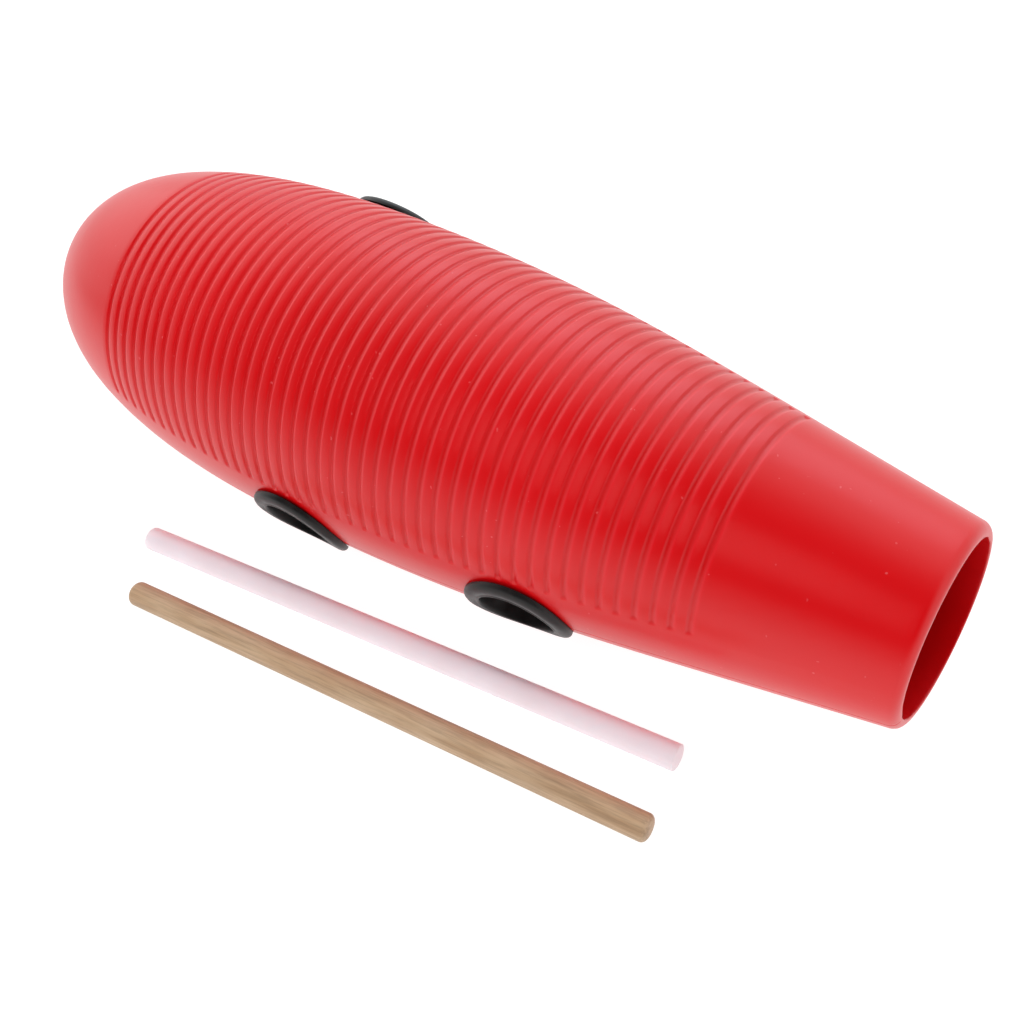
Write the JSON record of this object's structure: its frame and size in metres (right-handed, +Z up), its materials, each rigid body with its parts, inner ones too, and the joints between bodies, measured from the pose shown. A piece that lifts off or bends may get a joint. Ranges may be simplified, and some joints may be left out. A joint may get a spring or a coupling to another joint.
{
  "type": "guiro",
  "caption": "Hollow moulded guiro with a ribbed face, round open mouth and rubber-lined finger holes, lying beside a wooden and a plastic scraper.",
  "frame": {"origin": "middle of the whole set's footprint, on the table", "axes": "+X towards the guiro's mouth, -Y towards the player and the scrapers, +Z up"},
  "size_m": [0.3392, 0.1438, 0.11],
  "materials": {
    "red_plastic": "satin moulded",
    "black_rubber": "smooth",
    "wood": "sanded, unvarnished",
    "white_plastic": "milky, slightly translucent"
  },
  "bodies": {
    "guiro": {"ribbed_shell": "red_plastic", "back_shell": "red_plastic", "rear_finger_grommet": "black_rubber", "front_finger_grommet": "black_rubber", "thumb_grommet": "black_rubber"},
    "wooden_stick": {"wooden_scraper": "wood"},
    "plastic_stick": {"plastic_scraper": "white_plastic"}
  },
  "joints": [
    {"name": "wooden_scraper_lift", "type": "slide", "parent": "guiro", "child": "wooden_stick", "axis": [0, -0.5, 0.866], "range_m": [0, 0.15]},
    {"name": "plastic_scraper_lift", "type": "slide", "parent": "guiro", "child": "plastic_stick", "axis": [0, -0.5, 0.866], "range_m": [0, 0.15]}
  ]
}
